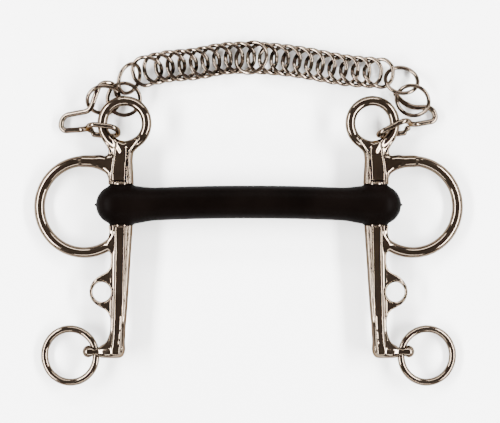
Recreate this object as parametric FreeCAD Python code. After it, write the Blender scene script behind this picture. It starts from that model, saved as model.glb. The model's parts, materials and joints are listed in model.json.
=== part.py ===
import FreeCAD, Part
import math
import os

from FreeCAD import Placement, Rotation, Vector

# A pelham curb bit lying on a flat surface, in millimetres. +Z is up, X runs along the
# mouthpiece and +Y points from the mouthpiece to the curb chain. The origin is at the middle
# of the whole bit, on the surface. Lengths along Y are first given from the mouthpiece's axis.

# Mouthpiece
MOUTH_WIDTH = 125.0             # between the inner faces of the two cheeks
CHEEK_HALF_WIDTH = 7.1          # from a cheek's swivel axis to its inner face
SWIVEL_X = MOUTH_WIDTH / 2 + CHEEK_HALF_WIDTH
MOUTH_Y = 4.4                   # the mouthpiece's axis, from the middle of the whole bit
BOSS_RADIUS = 10.7              # the rubber end that hides each swivel
BOSS_OFFSET = 3.0               # the rounded end's centre, outboard of the swivel axis
BOSS_INNER_X = SWIVEL_X - 5.0   # where the boss begins to taper down to the bar
BAR_START_X = SWIVEL_X - 10.5
BAR_RADIUS = 8.95
BAR_BOW = 1.5                   # the bar's middle lies this much nearer to the chain
NIB_RADIUS = 0.5
NIB_LENGTH = 0.8
CORE_RADIUS = 4.0
EYE_RADIUS = 7.2                # the core's eye round a cheek's journal
EYE_HALF_LENGTH = 7.2
JOURNAL_RADIUS = 4.5
JOURNAL_FIT = 0.05
RUBBER_BORE_RADIUS = 5.2
SEAT_GAP = 0.3                  # between the rubber boss and the cheek's shoulders
SHOULDER = BOSS_RADIUS + SEAT_GAP

# Cheeks, in a plane of their own: u outboard, v towards the chain, from the swivel's middle
CHEEK_THICKNESS = 6.6
NECK_THICKNESS = 7.4
UPPER_RING_U = -1.9
UPPER_RING_V = 44.4
UPPER_RING_RADIUS = 12.35
UPPER_RING_WIRE = 2.75
BIG_RING_U = 20.8
BIG_RING_V = -1.15
BIG_RING_RADIUS = 25.0
BIG_RING_WIRE = 2.85
SHANK_OUTER_U = 5.8
SHANK_END_V = -83.8
FOOT_HEIGHT = 6.9
FOOT_TIP_U = 18.0
FOOT_THICKNESS = 8.6
CURB_HOLE_U = 14.2
CURB_HOLE_RADIUS = 3.2
STRAP_HOLE_U = 10.8
STRAP_HOLE_V = -47.7
STRAP_HOLE_RADIUS = 5.35
STRAP_EYE_RADIUS = 7.0
STRAP_EYE_THICKNESS = 5.0
AXIS_Z = BOSS_RADIUS
RING_OUTER_REACH = BIG_RING_U + BIG_RING_RADIUS
REST_TILT = math.degrees(math.asin((AXIS_Z - BIG_RING_WIRE) / RING_OUTER_REACH))

# Curb rein rings
CURB_RING_RADIUS = 14.65
CURB_RING_WIRE = 1.95
CURB_RING_LEAN = 9             # the ring hangs this far askew in its hole

# Curb hooks
HOOK_WIRE = 1.5
LEFT_HOOK = [
    (-72.4, 60.4, 1.7), (-74.0, 66.6, 4.2), (-81.0, 66.8, 7.8), (-84.2, 58.6, 9.0),
    (-86.6, 51.4, 7.4), (-102.2, 48.8, 2.1), (-103.4, 40.4, 2.0), (-88.6, 41.4, 6.0),
    (-86.4, 44.0, 14.0), (-71.4, 42.2, 14.0), (-71.4, 37.0, 3.4), (-84.8, 38.6, 3.2),
]
RIGHT_HOOK = [
    (80.6, 60.8, 2.6), (84.2, 56.6, 2.8), (90.0, 53.4, 2.6), (100.8, 53.6, 2.0),
    (103.6, 46.2, 2.1), (89.2, 43.6, 6.0), (86.2, 46.6, 14.0), (71.0, 39.0, 14.0),
    (71.4, 37.6, 3.3), (85.4, 39.4, 3.2),
]

# Curb chain
LINK_RADIUS = 8.0
LINK_WIRE = 1.1
LINK_TWIST = 2.7                # how far a woven link's wire leaves its plane
WOVEN_LINKS = 20
FIRST_WOVEN = 4                 # the first woven link's number along the chain
MIDDLE_LINK = 9                 # the first woven link past the middle of the chain
MIDDLE_PITCH = 12.2             # the two middle links are only linked once, for the fly link
END_RING_RADIUS = 8.9
FIRST_RING_RADIUS = 8.4
FLY_RING_RADIUS = 9.0
SPINE_STEPS = 4000
END_RINGS = {                   # middle, and how far each is tipped about X and about Y
    "chain_link_01": ((-79.4, 57.5, 6.5), (35.3, 4.9), END_RING_RADIUS),
    "chain_link_02": ((-68.3, 57.8, 6.3), (12.5, -2.0), END_RING_RADIUS),
    "chain_link_03": ((-65.2, 69.0, 9.0), (20.3, 49.9), FIRST_RING_RADIUS),
    "chain_link_24": ((83.8, 68.1, 6.7), (-35.4, 6.4), END_RING_RADIUS),
    "chain_link_25": ((89.8, 57.0, 8.1), (25.1, -14.2), END_RING_RADIUS),
    "fly_link": ((1.5, 80.6, 6.5), (-18.8, -21.7), FLY_RING_RADIUS),
}
CHAIN_SPINE = [
    (-55.5, 73.4), (-44.0, 76.2), (-30.0, 76.9), (-12.0, 80.8), (12.0, 80.4), (33.0, 77.6),
    (52.0, 73.6), (71.2, 72.2),
]


def in_world(x, y, z):
    """A point given from the mouthpiece's axis, in the bit's own frame."""
    return Vector(x, y + MOUTH_Y, z)


def rounded_path(points, closed=False, share=0.45):
    """Straight runs between the points, joined by tangent arcs at every turn."""
    count = len(points)
    turns = []
    for k in range(0 if closed else 1, count if closed else count - 1):
        before = points[k - 1] - points[k]
        after = points[(k + 1) % count] - points[k]
        cut = share * min(before.Length, after.Length)
        before.normalize()
        after.normalize()
        half_turn = (math.pi - before.getAngle(after)) / 2
        radius = cut / math.tan(half_turn)
        inward = (before + after).normalize()
        middle = points[k] + inward * (radius / math.cos(half_turn) - radius)
        turns.append((points[k] + before * cut, middle, points[k] + after * cut))
    edges = []
    here = turns[-1][2] if closed else points[0]
    for start, middle, end in turns:
        edges.append(Part.LineSegment(here, start).toShape())
        edges.append(Part.Arc(start, middle, end).toShape())
        here = end
    if not closed:
        edges.append(Part.LineSegment(here, points[-1]).toShape())
    return Part.Wire(edges)


def wire_along(path, radius):
    """A round wire along a path that starts with a straight run."""
    first = path.OrderedEdges[0]
    start = first.valueAt(first.FirstParameter)
    heading = first.tangentAt(first.FirstParameter)
    section = Part.Wire([Part.makeCircle(radius, start, heading)])
    return path.makePipe(Part.Face(section))


def prism(points, thickness):
    """A flat plate whose outline is given in the XY plane, centred on it."""
    corners = [Vector(x, y, -thickness / 2) for x, y in points]
    face = Part.Face(Part.makePolygon(corners + corners[:1]))
    return face.extrude(Vector(0, 0, thickness))


def cylinder(radius, start, end):
    along = end - start
    return Part.makeCylinder(radius, along.Length, start, along)


def cheek_frame(side):
    """From a cheek's own plane to its place: side is 1 on the right and -1 on the left."""
    turn = REST_TILT if side > 0 else 180 - REST_TILT
    return Placement(in_world(side * SWIVEL_X, 0, AXIS_Z), Rotation(Vector(0, 1, 0), turn))


def curb_ring_frame(side):
    """The curb ring hangs from the foot's hole with its far edge on the surface."""
    hole = cheek_frame(side).multVec(Vector(CURB_HOLE_U, SHANK_END_V + FOOT_HEIGHT / 2, 0))
    drop = hole.z - CURB_RING_WIRE
    reach = CURB_RING_RADIUS * (1 + math.cos(math.radians(CURB_RING_LEAN)))
    turn = math.degrees(math.asin(drop / reach))
    return Placement(hole, Rotation(Vector(0, 1, 0), turn if side > 0 else 180 - turn))


def bar_centre(x):
    """How far the rubber bar's middle line is bowed towards the chain at x."""
    return BAR_BOW * (1 - (x / BAR_START_X) ** 2)


def mouthpiece_core():
    """A straight steel bar with an eye round each cheek's journal."""
    left = in_world(-SWIVEL_X, 0, AXIS_Z)
    right = in_world(SWIVEL_X, 0, AXIS_Z)
    half_eye = Vector(0, EYE_HALF_LENGTH, 0)
    core = cylinder(CORE_RADIUS, left, right)
    for middle in (left, right):
        core = core.fuse(cylinder(EYE_RADIUS, middle - half_eye, middle + half_eye))
    for middle in (left, right):
        bore = cylinder(JOURNAL_RADIUS + JOURNAL_FIT, middle - half_eye, middle + half_eye)
        core = core.cut(bore)
    return core.removeSplitter()


def boss(side):
    """The rounded end of the rubber bar, turned about X, with a moulding nib at its tip."""
    ball_x = SWIVEL_X + BOSS_OFFSET
    lean = math.asin(NIB_RADIUS / BOSS_RADIUS)
    shoulder = Vector(ball_x, BOSS_RADIUS, 0)
    on_ball = Vector(ball_x + BOSS_RADIUS * math.sin(math.pi / 4),
                     BOSS_RADIUS * math.cos(math.pi / 4), 0)
    nib_root = Vector(ball_x + BOSS_RADIUS * math.cos(lean), NIB_RADIUS, 0)
    nib_end = ball_x + BOSS_RADIUS + NIB_LENGTH
    outline = [
        Part.LineSegment(Vector(BAR_START_X, 0, 0), Vector(BAR_START_X, BAR_RADIUS, 0)),
        Part.LineSegment(Vector(BAR_START_X, BAR_RADIUS, 0), Vector(BOSS_INNER_X, BOSS_RADIUS, 0)),
        Part.LineSegment(Vector(BOSS_INNER_X, BOSS_RADIUS, 0), shoulder),
        Part.Arc(shoulder, on_ball, nib_root),
        Part.LineSegment(nib_root, Vector(nib_end, NIB_RADIUS, 0)),
        Part.LineSegment(Vector(nib_end, NIB_RADIUS, 0), Vector(nib_end, 0, 0)),
        Part.LineSegment(Vector(nib_end, 0, 0), Vector(BAR_START_X, 0, 0)),
    ]
    face = Part.Face(Part.Wire([line.toShape() for line in outline]))
    turned = face.revolve(Vector(0, 0, 0), Vector(1, 0, 0), 360)
    turn = Rotation(Vector(0, 0, 1), 0 if side > 0 else 180)
    return turned.transformed(Placement(in_world(0, 0, AXIS_Z), turn).Matrix, True)


def mouthpiece_cover(core):
    """The moulded rubber bar with a rounded boss at each end, hollow where the steel is."""
    sections = []
    stations = 9
    for k in range(stations):
        x = BAR_START_X * (2 * k / (stations - 1) - 1)
        centre = in_world(x, bar_centre(x), AXIS_Z)
        sections.append(Part.Wire([Part.makeCircle(BAR_RADIUS, centre, Vector(1, 0, 0))]))
    cover = Part.makeLoft(sections, True)
    for side in (-1, 1):
        cover = cover.fuse(boss(side))
    filled_core = core
    for side in (-1, 1):
        middle = in_world(side * SWIVEL_X, 0, AXIS_Z)
        reach = Vector(0, BOSS_RADIUS + 1, 0)
        bore = cylinder(RUBBER_BORE_RADIUS, middle - reach, middle + reach)
        filled_core = filled_core.fuse(bore)
    return cover.cut(filled_core).removeSplitter()


def cheek(side):
    """One cast cheek: upper ring, neck, big ring, round journal, shank, strap eye and foot."""
    up = Vector(0, 0, 1)
    upper_ring = Part.makeTorus(
        UPPER_RING_RADIUS, UPPER_RING_WIRE, Vector(UPPER_RING_U, UPPER_RING_V, 0), up)
    big_ring = Part.makeTorus(BIG_RING_RADIUS, BIG_RING_WIRE, Vector(BIG_RING_U, BIG_RING_V, 0), up)
    inboard = Part.makeBox(14, 44, 10, Vector(-10, BIG_RING_V - 22, -5))
    big_ring = big_ring.cut(inboard)
    neck = prism([
        (-5.9, SHOULDER), (7.6, SHOULDER), (7.4, 20), (7.8, 30.2), (9.6, 34), (11.4, 39),
        (5, 34.2), (-1.9, 32.6), (-9, 34.2), (-15.2, 39), (-13.0, 34.6), (-8.4, 30), (-6.3, 25),
    ], NECK_THICKNESS)
    arm = cylinder(BIG_RING_WIRE - 0.1, Vector(4, 24.4, 0), Vector(BIG_RING_U, 23.8, 0))
    shank = prism([
        (-5.6, -SHOULDER), (7.4, -SHOULDER), (SHANK_OUTER_U, -22), (SHANK_OUTER_U, -70),
        (10.5, SHANK_END_V + FOOT_HEIGHT), (10.5, SHANK_END_V), (1.1, SHANK_END_V), (-0.9, -80),
        (-2.7, -60), (-4.3, -40), (-5.1, -27),
    ], CHEEK_THICKNESS)
    journal = cylinder(
        JOURNAL_RADIUS, Vector(0, -SHOULDER - 1, 0), Vector(0, SHOULDER + 1, 0))
    foot_middle = SHANK_END_V + FOOT_HEIGHT / 2
    foot = prism([
        (9, SHANK_END_V), (FOOT_TIP_U, SHANK_END_V), (FOOT_TIP_U, SHANK_END_V + FOOT_HEIGHT),
        (9, SHANK_END_V + FOOT_HEIGHT),
    ], FOOT_THICKNESS)
    half_thick = Vector(0, 0, FOOT_THICKNESS / 2)
    tip_middle = Vector(FOOT_TIP_U, foot_middle, 0)
    foot_tip = cylinder(FOOT_HEIGHT / 2, tip_middle - half_thick, tip_middle + half_thick)
    strap_middle = Vector(STRAP_HOLE_U, STRAP_HOLE_V, 0)
    half_eye = Vector(0, 0, STRAP_EYE_THICKNESS / 2)
    strap_eye = cylinder(STRAP_EYE_RADIUS, strap_middle - half_eye, strap_middle + half_eye)
    strap_web = prism([
        (3.5, STRAP_HOLE_V - 12.5), (7.7, STRAP_HOLE_V - 8), (12.5, STRAP_HOLE_V - 6),
        (12.5, STRAP_HOLE_V + 6), (7.7, STRAP_HOLE_V + 8), (3.5, STRAP_HOLE_V + 12.5),
    ], STRAP_EYE_THICKNESS)
    body = neck.fuse([upper_ring, big_ring, arm, shank, foot, foot_tip, strap_eye, strap_web])
    body = body.cut(cylinder(STRAP_HOLE_RADIUS, strap_middle - up * 5, strap_middle + up * 5))
    body = body.cut(cylinder(
        CURB_HOLE_RADIUS, Vector(CURB_HOLE_U, SHANK_END_V - 1, 0),
        Vector(CURB_HOLE_U, SHANK_END_V + FOOT_HEIGHT + 1, 0)))
    body = body.fuse(journal).removeSplitter()
    return body.transformed(cheek_frame(side).Matrix, True)


def curb_ring(side):
    """A plain round ring through the hole in the cheek's foot."""
    lean = math.radians(CURB_RING_LEAN)
    middle = Vector(math.cos(lean), -math.sin(lean), 0) * CURB_RING_RADIUS
    ring = Part.makeTorus(CURB_RING_RADIUS, CURB_RING_WIRE, middle, Vector(0, 0, 1))
    return ring.transformed(curb_ring_frame(side).Matrix, True)


def curb_hook(points):
    """A hook bent from one wire: a hooked arm, a leg and an eye round the upper ring's wall."""
    return wire_along(rounded_path([in_world(*p) for p in points]), HOOK_WIRE)


def woven_roll(k):
    """How far link k is rolled about the chain's line, in degrees: the chain lies twisted."""
    return 18 - 36 * k / (WOVEN_LINKS - 1)


def woven_frames():
    """The frame of each woven link: x along the chain, z out of the link's plane."""
    spine = rounded_path([in_world(x, y, 0) for x, y in CHAIN_SPINE])
    pitch = (spine.Length - MIDDLE_PITCH) / (WOVEN_LINKS - 2)
    stations = [pitch * k + (MIDDLE_PITCH - pitch) * (k >= MIDDLE_LINK) for k in range(WOVEN_LINKS)]
    fine = spine.discretize(Number=SPINE_STEPS + 1)
    places = [fine[round(SPINE_STEPS * s / spine.Length)] for s in stations]
    frames = []
    for k, place in enumerate(places):
        before = places[max(k - 1, 0)]
        after = places[min(k + 1, WOVEN_LINKS - 1)]
        along = after - before
        heading = math.degrees(math.atan2(along.y, along.x))
        roll = woven_roll(k)
        lift = LINK_WIRE + LINK_TWIST * 0.8 + LINK_RADIUS * abs(math.sin(math.radians(roll)))
        turn = Rotation(Vector(0, 0, 1), heading).multiply(Rotation(Vector(1, 0, 0), roll))
        frames.append(Placement(place + Vector(0, 0, lift), turn))
    return frames


def plain_ring(middle, tips, radius):
    """A flat ring: tips turn it about X and Y together, about the one axis between them."""
    ring = Part.makeTorus(radius, LINK_WIRE, Vector(0, 0, 0), Vector(0, 0, 1))
    axis = Vector(tips[0], tips[1], 0)
    return ring.transformed(Placement(in_world(*middle), Rotation(axis, axis.Length)).Matrix, True)


def twisted_link():
    """A ring twisted out of its plane, so that rings woven together lie flat."""
    corners = []
    sides = 8
    for k in range(sides):
        angle = math.radians(360 * (k + 0.5) / sides)
        reach = LINK_RADIUS / math.cos(math.pi / sides) * 0.985
        corners.append(Vector(
            reach * math.cos(angle), reach * math.sin(angle), LINK_TWIST * math.sin(2 * angle)))
    return wire_along(rounded_path(corners, closed=True), LINK_WIRE)


def main():
    os.makedirs("parts", exist_ok=True)
    core = mouthpiece_core()
    nodes = {"mouthpiece_core": core, "mouthpiece_cover": mouthpiece_cover(core)}
    for name, side in (("left", -1), ("right", 1)):
        nodes[name + "_cheek"] = cheek(side)
        nodes[name + "_curb_ring"] = curb_ring(side)
    nodes["left_curb_hook"] = curb_hook(LEFT_HOOK)
    nodes["right_curb_hook"] = curb_hook(RIGHT_HOOK)
    link = twisted_link()
    for k, frame in enumerate(woven_frames()):
        nodes["chain_link_%02d" % (k + FIRST_WOVEN)] = link.transformed(frame.Matrix, True)
    for name, (middle, tips, radius) in END_RINGS.items():
        nodes[name] = plain_ring(middle, tips, radius)
    for name, shape in nodes.items():
        print(name, len(shape.Solids), shape.isValid(), round(shape.Volume, 1))
        shape.Solids[0].exportStep("parts/%s.step" % name)


if __name__ == "__main__":
    main()
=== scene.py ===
import json
import math

import bpy
import numpy as np
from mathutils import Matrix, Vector


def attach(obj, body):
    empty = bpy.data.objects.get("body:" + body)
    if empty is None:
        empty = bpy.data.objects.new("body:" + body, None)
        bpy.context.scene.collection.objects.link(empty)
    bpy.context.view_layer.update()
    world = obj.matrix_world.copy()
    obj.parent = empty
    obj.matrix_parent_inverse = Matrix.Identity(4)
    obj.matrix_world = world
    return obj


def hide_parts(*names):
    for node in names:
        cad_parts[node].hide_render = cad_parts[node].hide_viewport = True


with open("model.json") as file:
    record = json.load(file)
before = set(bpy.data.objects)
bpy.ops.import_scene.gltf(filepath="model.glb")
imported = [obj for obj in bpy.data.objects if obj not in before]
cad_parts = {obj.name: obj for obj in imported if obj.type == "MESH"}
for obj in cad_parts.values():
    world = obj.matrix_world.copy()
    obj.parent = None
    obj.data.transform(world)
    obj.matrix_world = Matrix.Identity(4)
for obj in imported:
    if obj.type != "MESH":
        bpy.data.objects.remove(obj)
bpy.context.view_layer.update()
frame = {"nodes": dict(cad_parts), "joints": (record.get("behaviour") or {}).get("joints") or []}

# A pelham curb bit lying on a pale floor. Everything is worked out in millimetres in numpy
# and turned into metres when a mesh is made. A cheek's own plane has u outboard, v towards
# the chain and w through its thickness, from the swivel's middle. A ring is given as the u
# and v of its middle and the radius of its wire's middle line.

MM = 0.001
JOINTS = {joint["name"]: joint for joint in frame["joints"]}
SWIVEL_X, MOUTH_Y, AXIS_Z = np.array(JOINTS["right_cheek_swivel"]["pos_m"]) / MM

# Cheeks
UPPER_RING = (-1.9, 44.4, 12.35)
UPPER_RING_WIRE = 2.75
BIG_RING = (20.8, -1.15, 25.0)
BIG_RING_WIRE = 2.85
BIG_RING_START = 4.2                    # the big ring's wire begins this far outboard
TILT = math.asin((AXIS_Z - BIG_RING_WIRE) / (BIG_RING[0] + BIG_RING[2]))
SHOULDER = 11.0                         # the rubber boss fits between v = -11 and v = 11
SEAT_REACH = 15.0
JOURNAL_RADIUS = 4.5
JOURNAL_HALF_LENGTH = 12.0
STRAP_EYE = (10.8, -47.7)
STRAP_HOLE_RADIUS = 5.35
STRAP_RIM_RADIUS = 6.3
CURB_HOLE_U = 14.2
CURB_HOLE_RADIUS = 3.2
CURB_HOLE_TOP = -72
SHANK_END_V = -83.8
CHEEK_BOX = ((-19, -86, -6.5), (51, 62, 6.5))

# Rubber mouthpiece
BAR_RADIUS = 8.95
BAR_BOW = 1.5
BOSS_RADIUS = 10.7
BOSS_OFFSET = 3.0                       # the boss's round end is centred outboard of the swivel
SWELL_START = 10.5                      # where the bow ends, inboard of the swivel
SWELL_LEAD = 9.0
SWELL_LENGTH = 17.0
SEAM_HEIGHT = 0.10
SEAM_WIDTH = 0.35
COLLAR_RADIUS = 5.9
COLLAR_HALF_LENGTH = 10.85
NIB_RADIUS = 0.55
NIB_LENGTH = 0.8
BORE_RADIUS = 4.65

# Curb hooks
HOOK_WIRE = 1.5
HOOK_BEND_SHARE = 0.45                  # how much of the shorter run a bend takes up
HOOK_BEND_STEPS = 10
HOOK_TIP_LENGTH = 9.0
HOOK_TIP_THINNING = 0.16

# Meshes
SMOOTHING_ROUNDS = 3
NEWTON_STEPS = 2


# --- distance fields ---------------------------------------------------------------------

def smooth_min(a, b, k):
    """The nearer of two distances, blended over a width k."""
    h = np.maximum(k - np.abs(a - b), 0) / k
    return np.minimum(a, b) - h * h * k / 4


def smooth_max(a, b, k):
    """The further of two distances, blended over a width k."""
    return -smooth_min(-a, -b, k)


def torus(p, ring, wire):
    """A ring lying in the first two axes."""
    middle_u, middle_v, radius = ring
    away = np.hypot(p[:, 0] - middle_u, p[:, 1] - middle_v) - radius
    return np.hypot(away, p[:, 2]) - wire


def rod(p, start, end, first, last, stretch=1.0):
    """A round rod that tapers between two points, stretched through the third axis."""
    a = np.array([start[0], start[1], 0.0])
    b = np.array([end[0], end[1], 0.0])
    q = p * np.array([1.0, 1.0, 1.0 / stretch])
    along = b - a
    t = np.clip((q - a) @ along / (along @ along), 0, 1)
    away = np.linalg.norm(q - a - t[:, None] * along, axis=1)
    return away - (first + (last - first) * t)


def rods(p, points, radii, stretch=1.0, blend=1.0):
    """Tapering rods end to end, blended where they meet."""
    field = None
    for k in range(len(points) - 1):
        part = rod(p, points[k], points[k + 1], radii[k], radii[k + 1], stretch)
        field = part if field is None else smooth_min(field, part, blend)
    return field


def slab(p, outline, half, edge):
    """A flat plate of half a thickness, with a polygon outline and rounded edges."""
    poly = np.array(outline, float)
    u, v = p[:, 0], p[:, 1]
    nearest = np.full(len(p), 1e9)
    inside = np.zeros(len(p), bool)
    for k in range(len(poly)):
        a = poly[k - 1]
        b = poly[k]
        e = b - a
        wu = u - a[0]
        wv = v - a[1]
        t = np.clip((wu * e[0] + wv * e[1]) / (e @ e), 0, 1)
        nearest = np.minimum(nearest, np.hypot(wu - e[0] * t, wv - e[1] * t))
        crosses = (a[1] > v) != (b[1] > v)
        with np.errstate(divide="ignore", invalid="ignore"):
            at = (b[0] - a[0]) * (v - a[1]) / (b[1] - a[1]) + a[0]
        inside ^= crosses & (u < at)
    flat = np.where(inside, -nearest, nearest) + edge
    deep = np.abs(p[:, 2]) - half + edge
    outer = np.hypot(np.maximum(flat, 0), np.maximum(deep, 0))
    return outer + np.minimum(np.maximum(flat, deep), 0) - edge


def ball(p, centre, radii):
    """A ball with a radius of its own along each axis."""
    r = np.array(radii, float)
    q = (p - np.array(centre)) / r
    return (np.linalg.norm(q, axis=1) - 1) * r.min()


def hole(p, centre, radius, axis):
    """A round drilled hole along one axis, as the distance outside it."""
    others = [k for k in range(3) if k != axis]
    return np.hypot(p[:, others[0]] - centre[0], p[:, others[1]] - centre[1]) - radius


# --- meshing -----------------------------------------------------------------------------

def field_on_grid(field, low, high, step):
    """The field at every corner of a grid, worked out one sheet at a time."""
    axes = [np.arange(a, b + step, step) for a, b in zip(low, high)]
    shape = tuple(len(a) for a in axes)
    values = np.empty(shape)
    for i, x in enumerate(axes[0]):
        y, z = np.meshgrid(axes[1], axes[2], indexing="ij")
        points = np.column_stack([np.full(y.size, x), y.ravel(), z.ravel()])
        values[i] = field(points).reshape(y.shape)
    return axes, values


def surface(field, low, high, step):
    """Surface nets: one vertex per cell that the surface crosses, smoothed onto the surface."""
    axes, f = field_on_grid(field, low, high, step)
    origin = np.array([a[0] for a in axes])
    inside = f < 0
    count = np.zeros(tuple(n - 1 for n in f.shape), int)
    corners = [(i, j, k) for i in (0, 1) for j in (0, 1) for k in (0, 1)]
    for i, j, k in corners:
        count += inside[i:f.shape[0] - 1 + i, j:f.shape[1] - 1 + j, k:f.shape[2] - 1 + k]
    active = (count > 0) & (count < 8)
    cells = np.argwhere(active)
    number = np.full(active.shape, -1)
    number[active] = np.arange(len(cells))
    total = np.zeros((len(cells), 3))
    hits = np.zeros(len(cells))
    for a in corners:
        for axis in range(3):
            if a[axis]:
                continue
            b = list(a)
            b[axis] = 1
            fa = f[tuple((cells + a).T)]
            fb = f[tuple((cells + b).T)]
            cut = (fa < 0) != (fb < 0)
            t = np.where(cut, fa / np.where(cut, fa - fb, 1), 0)
            spot = cells + np.array(a, float)
            spot[:, axis] += t
            total += spot * cut[:, None]
            hits += cut
    verts = origin + total / hits[:, None] * step
    quads = []
    for axis in range(3):
        one, two = [(1, 2), (2, 0), (0, 1)][axis]
        lower = [slice(None)] * 3
        upper = [slice(None)] * 3
        lower[axis] = slice(0, -1)
        upper[axis] = slice(1, None)
        low_in = inside[tuple(lower)]
        high_in = inside[tuple(upper)]
        edges = np.argwhere(low_in != high_in)
        edges = edges[(edges[:, one] > 0) & (edges[:, two] > 0)]
        edges = edges[(edges[:, one] < f.shape[one] - 1) & (edges[:, two] < f.shape[two] - 1)]
        ring = []
        for da, db in ((1, 1), (0, 1), (0, 0), (1, 0)):
            cell = edges.copy()
            cell[:, one] -= da
            cell[:, two] -= db
            ring.append(number[tuple(cell.T)])
        faces = np.column_stack(ring)
        flip = ~low_in[tuple(edges.T)]
        faces[flip] = faces[flip][:, ::-1]
        quads.append(faces)
    quads = np.vstack(quads)
    pairs = np.vstack([quads[:, [k, (k + 1) % 4]] for k in range(4)])
    both = np.vstack([pairs, pairs[:, ::-1]])
    degree = np.bincount(both[:, 0], minlength=len(verts))
    verts = pull(field, verts, step)
    for _ in range(SMOOTHING_ROUNDS):
        near = np.column_stack([
            np.bincount(both[:, 0], weights=verts[both[:, 1], k], minlength=len(verts))
            for k in range(3)])
        verts = 0.5 * verts + 0.5 * near / np.maximum(degree, 1)[:, None]
        verts = pull(field, verts, step)
    return verts, quads


def pull(field, verts, step):
    """Newton steps of each vertex onto the field's zero, each shorter than a grid step."""
    h = step * 0.1
    for _ in range(NEWTON_STEPS):
        value = field(verts)
        slope = np.empty_like(verts)
        for k in range(3):
            shift = np.zeros(3)
            shift[k] = h
            slope[:, k] = (field(verts + shift) - field(verts - shift)) / (2 * h)
        size = np.maximum((slope ** 2).sum(1), 0.05)
        move = slope * (value / size)[:, None]
        length = np.linalg.norm(move, axis=1)
        limit = np.minimum(1, step * 0.7 / np.maximum(length, 1e-9))
        verts = verts - move * limit[:, None]
    return verts


def make_mesh(name, verts, faces, body, material):
    """A smooth mesh object in metres, riding on its body."""
    data = bpy.data.meshes.new(name)
    data.from_pydata((verts * MM).tolist(), [], faces.tolist())
    data.polygons.foreach_set("use_smooth", [True] * len(data.polygons))
    data.materials.append(material)
    data.update()
    obj = bpy.data.objects.new(name, data)
    bpy.context.scene.collection.objects.link(obj)
    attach(obj, body)
    return obj


# --- materials ---------------------------------------------------------------------------

def new_material(name):
    """An empty node material, its node tree and its shader."""
    material = bpy.data.materials.new(name)
    material.use_nodes = True
    tree = material.node_tree
    return material, tree, tree.nodes["Principled BSDF"]


def noise(tree, scale, detail, where):
    """A noise texture's value, between 0 and 1."""
    node = tree.nodes.new("ShaderNodeTexNoise")
    node.inputs["Scale"].default_value = scale
    node.inputs["Detail"].default_value = detail
    tree.links.new(where, node.inputs["Vector"])
    return node.outputs["Fac"]


def ramp(tree, value, stops):
    """A value turned into a colour, through stops of place and colour."""
    node = tree.nodes.new("ShaderNodeValToRGB")
    tree.links.new(value, node.inputs["Fac"])
    elements = node.color_ramp.elements
    while len(elements) < len(stops):
        elements.new(0.5)
    for element, (at, colour) in zip(elements, stops):
        element.position = at
        element.color = tuple(colour) + (1.0,)
    return node.outputs["Color"]


def steel(name, dark, light, rough_low, rough_high, grain):
    """Polished steel: warm, slightly uneven, with faint polishing ripple."""
    material, tree, shader = new_material(name)
    where = tree.nodes.new("ShaderNodeTexCoord").outputs["Object"]
    shader.inputs["Metallic"].default_value = 1.0
    shader.inputs["Specular Tint"].default_value = (0.30, 0.27, 0.24, 1.0)
    cloud = noise(tree, 60.0, 4.0, where)
    colour = ramp(tree, cloud, [(0.3, dark), (0.7, light)])
    tree.links.new(colour, shader.inputs["Base Color"])
    fine = noise(tree, 900.0, 3.0, where)
    rough = ramp(tree, fine, [(0.3, (rough_low,) * 3), (0.75, (rough_high,) * 3)])
    tree.links.new(rough, shader.inputs["Roughness"])
    bump = tree.nodes.new("ShaderNodeBump")
    bump.inputs["Strength"].default_value = 0.12
    bump.inputs["Distance"].default_value = grain * MM
    ripple = noise(tree, 260.0, 2.0, where)
    tree.links.new(ripple, bump.inputs["Height"])
    tree.links.new(bump.outputs["Normal"], shader.inputs["Normal"])
    return material


def rubber_material():
    """Black moulded rubber: satin, faintly warm, with a fine moulded grain."""
    material, tree, shader = new_material("black_rubber")
    where = tree.nodes.new("ShaderNodeTexCoord").outputs["Object"]
    cloud = noise(tree, 45.0, 5.0, where)
    colour = ramp(tree, cloud, [(0.3, (0.0007, 0.0004, 0.0003)), (0.75, (0.0016, 0.0010, 0.0008))])
    tree.links.new(colour, shader.inputs["Base Color"])
    fine = noise(tree, 1500.0, 4.0, where)
    rough = ramp(tree, fine, [(0.3, (0.40,) * 3), (0.7, (0.52,) * 3)])
    tree.links.new(rough, shader.inputs["Roughness"])
    shader.inputs["IOR"].default_value = 1.12
    shader.inputs["Specular IOR Level"].default_value = 0.1
    bump = tree.nodes.new("ShaderNodeBump")
    bump.inputs["Strength"].default_value = 0.25
    bump.inputs["Distance"].default_value = 0.06 * MM
    tree.links.new(fine, bump.inputs["Height"])
    tree.links.new(bump.outputs["Normal"], shader.inputs["Normal"])
    return material


cast_steel = steel("cast_steel", (0.080, 0.061, 0.046), (0.118, 0.093, 0.071), 0.07, 0.13, 0.10)
wire_steel = steel("wire_steel", (0.080, 0.061, 0.046), (0.118, 0.093, 0.071), 0.08, 0.15, 0.06)
chain_steel = steel("chain_steel", (0.068, 0.052, 0.039), (0.105, 0.082, 0.063), 0.09, 0.17, 0.06)
core_steel = steel("core_steel", (0.40, 0.38, 0.35), (0.5, 0.48, 0.45), 0.28, 0.4, 0.05)
rubber = rubber_material()


# --- the cast cheeks ---------------------------------------------------------------------

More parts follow.
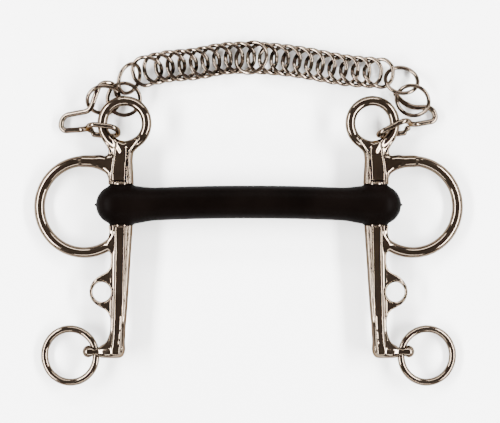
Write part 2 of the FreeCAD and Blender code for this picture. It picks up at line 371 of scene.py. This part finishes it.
ROD_FOOT = 0.55                         # a rod's side begins this far outside its half width
ROD_EDGE = 0.45                         # and reaches the rod's top this far inside it
INNER_RIM_IN = 1.15                     # how far a rim's crest lies in from the casting's edge
INNER_RIM_WIDTH = 0.8
OUTER_RIM_IN = 0.75
OUTER_RIM_WIDTH = 0.5
STRAP_RIM_WIDTH = 0.35
STRAP_RIM_HEIGHT = 0.4
STRAP_PLATE_START = 4.7                 # outboard of this, the shank is at least a thin plate
STRAP_PLATE_HALF = 1.75
STRAP_PLATE_SLOPE = 0.05
OUT_OF_REACH = 40.0                     # half a thickness that no surface comes near
RELIEF_SHARE = 0.85                     # keeps a steep relief's distance from overshooting


def rise(start, end, x):
    """0 before start, 1 after end, and a smooth step between them."""
    t = np.clip((x - start) / (end - start), 0, 1)
    return t * t * (3 - 2 * t)


def bump(x, width):
    """1 at zero, falling away smoothly on both sides."""
    return np.exp(-(x / width) ** 2)


def ridge(u, inner, outer, middle, half, rod_top, inside_web, outside_web, slope, rim_in, rim_out):
    """Half the thickness across u: two rims, a flat-topped rod and the hollows between."""
    height = np.where(u > middle, outside_web - slope * np.maximum(u - middle - half, 0),
                      inside_web)
    rod_up = rise(middle - half - ROD_FOOT, middle - half + ROD_EDGE, u)
    rod_down = rise(middle + half - ROD_EDGE, middle + half + ROD_FOOT, u)
    height = height + (rod_top - height) * (rod_up - rod_down)
    height = height + rim_in * bump(u - inner - INNER_RIM_IN, INNER_RIM_WIDTH)
    return height + rim_out * bump(u - outer + OUTER_RIM_IN, OUTER_RIM_WIDTH)


def relief(p, outline, half_thickness, edge):
    """A plate with an outline and a thickness that varies over it."""
    flat = slab(p, outline, OUT_OF_REACH, 0.0)
    deep = (np.abs(p[:, 2]) - half_thickness) * RELIEF_SHARE
    return smooth_max(flat, deep, edge)


def neck_field(p):
    """The neck: a flat-topped column between two flutes, widening to hold the upper ring."""
    u, v = p[:, 0], p[:, 1]
    inner = np.interp(v, [11, 19, 24, 28, 32, 36], [-6.8, -6.4, -6.1, -6.5, -9.0, -12.4])
    outer = np.interp(v, [11, 20, 30, 33, 36], [6.9, 7.1, 7.1, 8.5, 10.6])
    column_at = np.interp(v, [11, 20, 30], [0.7, 0.5, -0.6])
    column_half = np.interp(v, [11, 20, 30, 34], [3.9, 3.6, 3.3, 2.2])
    swelling = 0.7 * rise(12.6, 13.6, v) * (1 - rise(14.2, 19.5, v))
    swelling = swelling * (1 - rise(3.0, 5.2, np.abs(u - 0.5)))
    clear_of_arm = 1 - rise(15, 19, v) * (1 - rise(28, 31, v))
    height = ridge(u, inner, outer, column_at, column_half, rod_top=3.6, inside_web=2.1,
                   outside_web=2.2, slope=0.2, rim_in=1.0, rim_out=0.7 * clear_of_arm)
    plate = relief(p, [(-6.9, 9.6), (6.9, 9.6), (7.1, 20), (7.1, 30), (8.4, 33), (9.8, 35.6),
                       (4.9, 34.6), (-1.9, 32.6), (-8.7, 34.6), (-14.4, 39.0), (-12.4, 36),
                       (-9.0, 32), (-6.5, 28), (-6.1, 24), (-6.4, 19)], height + swelling, 0.9)
    crown = slab(p, [(-7.6, 36.0), (-1.9, 33.4), (3.8, 36.0), (1.2, 32.0), (-0.6, 28.6),
                     (-1.8, 28.6), (-4.6, 32.0)], 3.9, 1.3)
    return smooth_min(plate, crown, 2.0)


def foot_field(p):
    """The heel and the rounded foot that turns outboard, drilled for the curb ring."""
    toe = rods(p, [(2.9, -80.0), (8, -80.35), (18.0, -80.35)], [3.7, 3.5, 3.45],
               stretch=1.15, blend=2.5)
    heel = rods(p, [(1.9, -64), (2.2, -72), (2.9, -79.6)], [1.6, 2.5, 3.7],
                stretch=1.1, blend=2.0)
    foot = smooth_min(toe, heel, 4.0)
    drill = hole(p, (CURB_HOLE_U, 0.0), CURB_HOLE_RADIUS, 1)
    drill = np.maximum(drill, p[:, 1] - CURB_HOLE_TOP)
    return smooth_max(foot, -drill, 0.7)


def shank_field(p):
    """The shank: a rod between an inner rim and an outboard web, the strap eye and the foot."""
    u, v = p[:, 0], p[:, 1]
    inner = np.interp(v, [-80, -70, -58, -40, -24, -10], [-0.7, -2.0, -3.1, -4.4, -5.4, -6.4])
    outer = np.interp(v, [-77, -70, -22, -10], [7.5, 5.9, 5.9, 6.8])
    rod_at = np.interp(v, [-80, -70, -56, -40, -22, -10], [2.0, 1.4, 0.9, 0.4, 0.0, -0.1])
    rod_half = np.interp(v, [-80, -70, -56, -22, -10], [2.3, 2.2, 2.4, 2.5, 2.7])
    height = ridge(u, inner, outer, rod_at, rod_half, rod_top=3.3, inside_web=2.0,
                   outside_web=2.2, slope=0.3, rim_in=0.8, rim_out=0.35)
    plate = STRAP_PLATE_HALF - STRAP_PLATE_SLOPE * (u - STRAP_PLATE_START)
    height = np.where(u > STRAP_PLATE_START, np.maximum(height, plate), height)
    from_eye = np.hypot(u - STRAP_EYE[0], v - STRAP_EYE[1])
    height = height + STRAP_RIM_HEIGHT * bump(from_eye - STRAP_RIM_RADIUS, STRAP_RIM_WIDTH)
    shank = relief(p, [(-6.4, -9.6), (6.9, -9.6), (5.8, -22.0), (5.6, -31.5), (6.1, -34.2),
                       (7.4, -36.2), (9.4, -37.6), (11.6, -38.6), (13.8, -40.0), (15.8, -42.0),
                       (17.2, -44.6), (17.7, -47.4), (17.4, -50.0), (16.2, -52.5), (14.2, -54.5),
                       (11.6, -56.0), (9.0, -57.3), (7.1, -59.1), (6.0, -61.8), (5.7, -65.0),
                       (5.9, -70.0), (7.5, -75.0), (9.0, -78.0), (0.6, -81.0), (-0.9, -79.0),
                       (-2.0, -70.0), (-3.1, -58.0), (-4.4, -40.0), (-5.4, -24.0)], height, 0.7)
    shank = smooth_min(shank, foot_field(p), 3.0)
    shank = smooth_max(shank, -hole(p, STRAP_EYE, STRAP_HOLE_RADIUS, 2), 0.3)
    return smooth_max(shank, SHANK_END_V - v, 0.8)


def cheek_field(p):
    """The whole casting in its own plane, with the seat for the rubber boss cut out of it."""
    u, v, w = p[:, 0], p[:, 1], p[:, 2]
    upper = smooth_min(torus(p, UPPER_RING, UPPER_RING_WIRE), neck_field(p), 1.6)
    big_ring = smooth_max(torus(p, BIG_RING, BIG_RING_WIRE), BIG_RING_START - u, 1.0)
    arm = rods(p, [(5.0, 23.8), (12.5, 24.0), (20.8, 23.8)], [2.9, 2.8, 2.75], blend=2.0)
    upper = smooth_min(upper, smooth_min(big_ring, arm, 2.0), 2.4)
    lower = smooth_min(big_ring, shank_field(p), 3.0)
    body = smooth_min(upper, lower, 0.4)
    seat = np.maximum(np.abs(v) - SHOULDER, u - SEAT_REACH)
    body = smooth_max(body, -seat, 0.5)
    journal = np.maximum(np.hypot(u, w) - JOURNAL_RADIUS, np.abs(v) - JOURNAL_HALF_LENGTH)
    return np.minimum(body, journal)


def cheek_to_world(verts, side):
    """A cheek's own plane, tilted to rest on the floor; the left cheek mirrors the right."""
    u, v, w = verts.T
    x = SWIVEL_X + u * math.cos(TILT) + w * math.sin(TILT)
    z = AXIS_Z - u * math.sin(TILT) + w * math.cos(TILT)
    return np.column_stack([side * x, v + MOUTH_Y, z])


def make_cheeks():
    """Both castings, from one mesh and its mirror image."""
    step = 0.42
    low, high = CHEEK_BOX
    verts, quads = surface(cheek_field, low, high, step)
    for side, name in ((1, "right"), (-1, "left")):
        faces = quads if side > 0 else quads[:, ::-1]
        obj = make_mesh(name + "_casting", cheek_to_world(verts, side), faces,
                        name + "_cheek", cast_steel)
        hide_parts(name + "_cheek")


# --- the rubber mouthpiece ---------------------------------------------------------------

def mouthpiece_field(p):
    """The rubber bar, bowed towards the chain, with a rounded boss at each end."""
    along = np.abs(p[:, 0])
    start = SWIVEL_X - SWELL_START
    bow = BAR_BOW * np.clip(1 - (p[:, 0] / start) ** 2, 0, 1)
    y = p[:, 1] - MOUTH_Y - bow
    z = p[:, 2] - AXIS_Z
    away = np.hypot(y, z)
    swell = rise(0, 1, (along - (start - SWELL_LEAD)) / SWELL_LENGTH)
    radius = BAR_RADIUS + (BOSS_RADIUS - BAR_RADIUS) * swell
    seam = SEAM_HEIGHT * bump(z, SEAM_WIDTH)
    tube = np.maximum(away - radius - seam, along - (SWIVEL_X + BOSS_OFFSET))
    end = np.sqrt((along - SWIVEL_X - BOSS_OFFSET) ** 2 + away ** 2) - BOSS_RADIUS - seam * 0.7
    body = np.where(along > SWIVEL_X + BOSS_OFFSET, end, np.minimum(tube, end))
    collar = np.hypot(along - SWIVEL_X, z) - COLLAR_RADIUS
    collar = smooth_max(collar, np.abs(p[:, 1] - MOUTH_Y) - COLLAR_HALF_LENGTH, 0.9)
    body = smooth_min(body, collar, 2.4)
    nib_end = SWIVEL_X + BOSS_OFFSET + BOSS_RADIUS + NIB_LENGTH
    nib = np.maximum(away - NIB_RADIUS, along - nib_end)
    nib = np.maximum(nib, SWIVEL_X - along)
    body = smooth_min(body, nib, 0.6)
    bore = np.hypot(along - SWIVEL_X, z) - BORE_RADIUS
    return smooth_max(body, -bore, 0.3)


def make_mouthpiece():
    """The whole rubber moulding, in place of the CAD one."""
    step = 0.55
    reach = SWIVEL_X + 16
    verts, quads = surface(mouthpiece_field, (-reach, MOUTH_Y - 13, AXIS_Z - 12.5),
                           (reach, MOUTH_Y + 13, AXIS_Z + 12.5), step)
    obj = make_mesh("rubber_mouthpiece", verts, quads, "mouthpiece", rubber)
    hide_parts("mouthpiece_cover")


# --- the bent-wire curb hooks ------------------------------------------------------------

LEFT_HOOK = [
    (-72.4, 60.4, 1.7), (-74.0, 66.6, 4.2), (-81.0, 66.8, 7.8), (-84.2, 58.6, 9.0),
    (-86.6, 51.4, 7.4), (-102.2, 48.8, 2.1), (-103.4, 40.4, 2.0), (-88.6, 41.4, 6.0),
    (-86.4, 44.0, 14.0), (-71.4, 42.2, 14.0), (-71.4, 37.0, 3.4), (-84.8, 38.6, 3.2),
]
RIGHT_HOOK = [
    (80.6, 60.8, 2.6), (84.2, 56.6, 2.8), (90.0, 53.4, 2.6), (100.8, 53.6, 2.0),
    (103.6, 46.2, 2.1), (89.2, 43.6, 6.0), (86.2, 46.6, 14.0), (71.0, 39.0, 14.0),
    (71.4, 37.6, 3.3), (85.4, 39.4, 3.2),
]


def rounded(points):
    """Straight runs joined by tangent arcs, as a fine polyline."""
    p = np.array(points, float)
    path = [p[0]]
    for k in range(1, len(p) - 1):
        before = p[k - 1] - p[k]
        after = p[k + 1] - p[k]
        cut = HOOK_BEND_SHARE * min(np.linalg.norm(before), np.linalg.norm(after))
        before /= np.linalg.norm(before)
        after /= np.linalg.norm(after)
        half_turn = (math.pi - math.acos(np.clip(before @ after, -1, 1))) / 2
        radius = cut / math.tan(half_turn)
        inward = (before + after) / np.linalg.norm(before + after)
        centre = p[k] + inward * radius / math.cos(half_turn)
        start = p[k] + before * cut - centre
        for s in range(HOOK_BEND_STEPS + 1):
            angle = 2 * half_turn * s / HOOK_BEND_STEPS
            path.append(centre + start * math.cos(angle) - before * radius * math.sin(angle))
    path.append(p[-1])
    return np.array(path)


def hook_field(path, radii, joint_at, joint_size):
    """A wire along a path, with a brazed lump where its eye closes."""
    def field(p):
        near = np.full(len(p), 1e9)
        for k in range(len(path) - 1):
            a = path[k]
            e = path[k + 1] - a
            t = np.clip((p - a) @ e / (e @ e), 0, 1)
            away = np.linalg.norm(p - a - t[:, None] * e, axis=1)
            near = np.minimum(near, away - (radii[k] + (radii[k + 1] - radii[k]) * t))
        return smooth_min(near, ball(p, joint_at, joint_size), 1.6)
    return field


def make_hook(name, points, joint_at, joint_size):
    """One bent-wire hook, thinner towards its tip, in place of the CAD one."""
    path = rounded(points) + np.array([0, MOUTH_Y, 0])
    gone = np.concatenate([[0], np.cumsum(np.linalg.norm(np.diff(path, axis=0), axis=1))])
    thinning = HOOK_TIP_THINNING * np.clip(1 - gone / HOOK_TIP_LENGTH, 0, 1)
    radii = HOOK_WIRE * (1 - thinning)
    step = 0.3
    field = hook_field(path, radii, np.array(joint_at) + [0, MOUTH_Y, 0], joint_size)
    margin = 2 * HOOK_WIRE
    verts, quads = surface(field, path.min(0) - margin, path.max(0) + margin, step)
    obj = make_mesh(name + "_hook", verts, quads, name + "_curb_hook", wire_steel)
    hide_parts(name + "_curb_hook")


make_cheeks()
make_mouthpiece()
make_hook("left", LEFT_HOOK, (-86.6, 41.0, 4.6), (1.9, 1.6, 2.4))
make_hook("right", RIGHT_HOOK, (87.2, 41.9, 4.6), (1.7, 1.6, 2.0))

# --- wire pieces keep their exact shape --------------------------------------------------

for name, node in frame["nodes"].items():
    if "link" in name:
        finish = chain_steel
    elif "curb_ring" in name:
        finish = wire_steel
    elif name == "mouthpiece_core":
        finish = core_steel
    else:
        continue
    node.data.materials.clear()
    node.data.materials.append(finish)

# --- floor, light and camera -------------------------------------------------------------

FLOOR_REACH = 3.0                       # metres from the middle to each edge
FLOOR_CORNERS = [(-1, -1), (1, -1), (1, 1), (-1, 1)]
floor_data = bpy.data.meshes.new("floor")
floor_data.from_pydata([(FLOOR_REACH * x, FLOOR_REACH * y, 0) for x, y in FLOOR_CORNERS], [],
                       [(0, 1, 2, 3)])
floor = bpy.data.objects.new("floor", floor_data)
bpy.context.scene.collection.objects.link(floor)
paper, paper_tree, paper_shader = new_material("pale_floor")
paper_where = paper_tree.nodes.new("ShaderNodeTexCoord").outputs["Object"]
paper_tone = ramp(paper_tree, noise(paper_tree, 6.0, 2.0, paper_where),
                  [(0.3, (0.90, 0.905, 0.91)), (0.7, (0.93, 0.935, 0.94))])
paper_tree.links.new(paper_tone, paper_shader.inputs["Base Color"])
paper_shader.inputs["Roughness"].default_value = 0.9
paper_shader.inputs["Specular IOR Level"].default_value = 0.1
floor_data.materials.append(paper)


def area_light(name, place, width, height, power):
    """A softbox that faces the object; sizes and places are in metres, power in watts."""
    data = bpy.data.lights.new(name, "AREA")
    data.shape = "RECTANGLE"
    data.size = width
    data.size_y = height
    data.energy = power
    obj = bpy.data.objects.new(name, data)
    obj.location = place
    towards = Vector((0, 0, 0)) - Vector(place)
    obj.rotation_euler = towards.to_track_quat("-Z", "Y").to_euler()
    bpy.context.scene.collection.objects.link(obj)


LIGHT_WIDTH = 1.3
area_light("key_left", (-0.95, 0.0, 0.72), LIGHT_WIDTH, 0.2, 84)
area_light("key_right", (0.95, 0.0, 0.72), LIGHT_WIDTH, 0.2, 84)
area_light("back_strip", (0.0, 0.95, 0.62), LIGHT_WIDTH, 0.16, 24)
area_light("front_strip", (0.0, -0.95, 0.55), LIGHT_WIDTH, 0.12, 14)

world = bpy.data.worlds.new("studio")
world.use_nodes = True
world_tree = world.node_tree
background = world_tree.nodes["Background"]
direction = world_tree.nodes.new("ShaderNodeTexCoord").outputs["Generated"]
split = world_tree.nodes.new("ShaderNodeSeparateXYZ")
world_tree.links.new(direction, split.inputs["Vector"])
sky = ramp(world_tree, split.outputs["Z"], [
    (0.0, (0.60, 0.54, 0.49)), (0.25, (0.50, 0.44, 0.39)), (0.55, (0.42, 0.36, 0.32)),
    (0.8, (0.36, 0.31, 0.27)), (1.0, (0.52, 0.45, 0.40))])
world_tree.links.new(sky, background.inputs["Color"])
background.inputs["Strength"].default_value = 1.0
bpy.context.scene.world = world

VIEW_WIDTH = 0.275                      # metres of floor that the picture's width shows
VIEW_MIDDLE = (0.0008, 0.0007)
camera_data = bpy.data.cameras.new("camera")
camera_data.lens = 200
camera_data.sensor_width = 36
camera = bpy.data.objects.new("camera", camera_data)
view_height = VIEW_WIDTH * camera_data.lens / camera_data.sensor_width
camera.location = (*VIEW_MIDDLE, view_height)
camera.rotation_euler = (0, 0, 0)
bpy.context.scene.collection.objects.link(camera)
bpy.context.scene.camera = camera
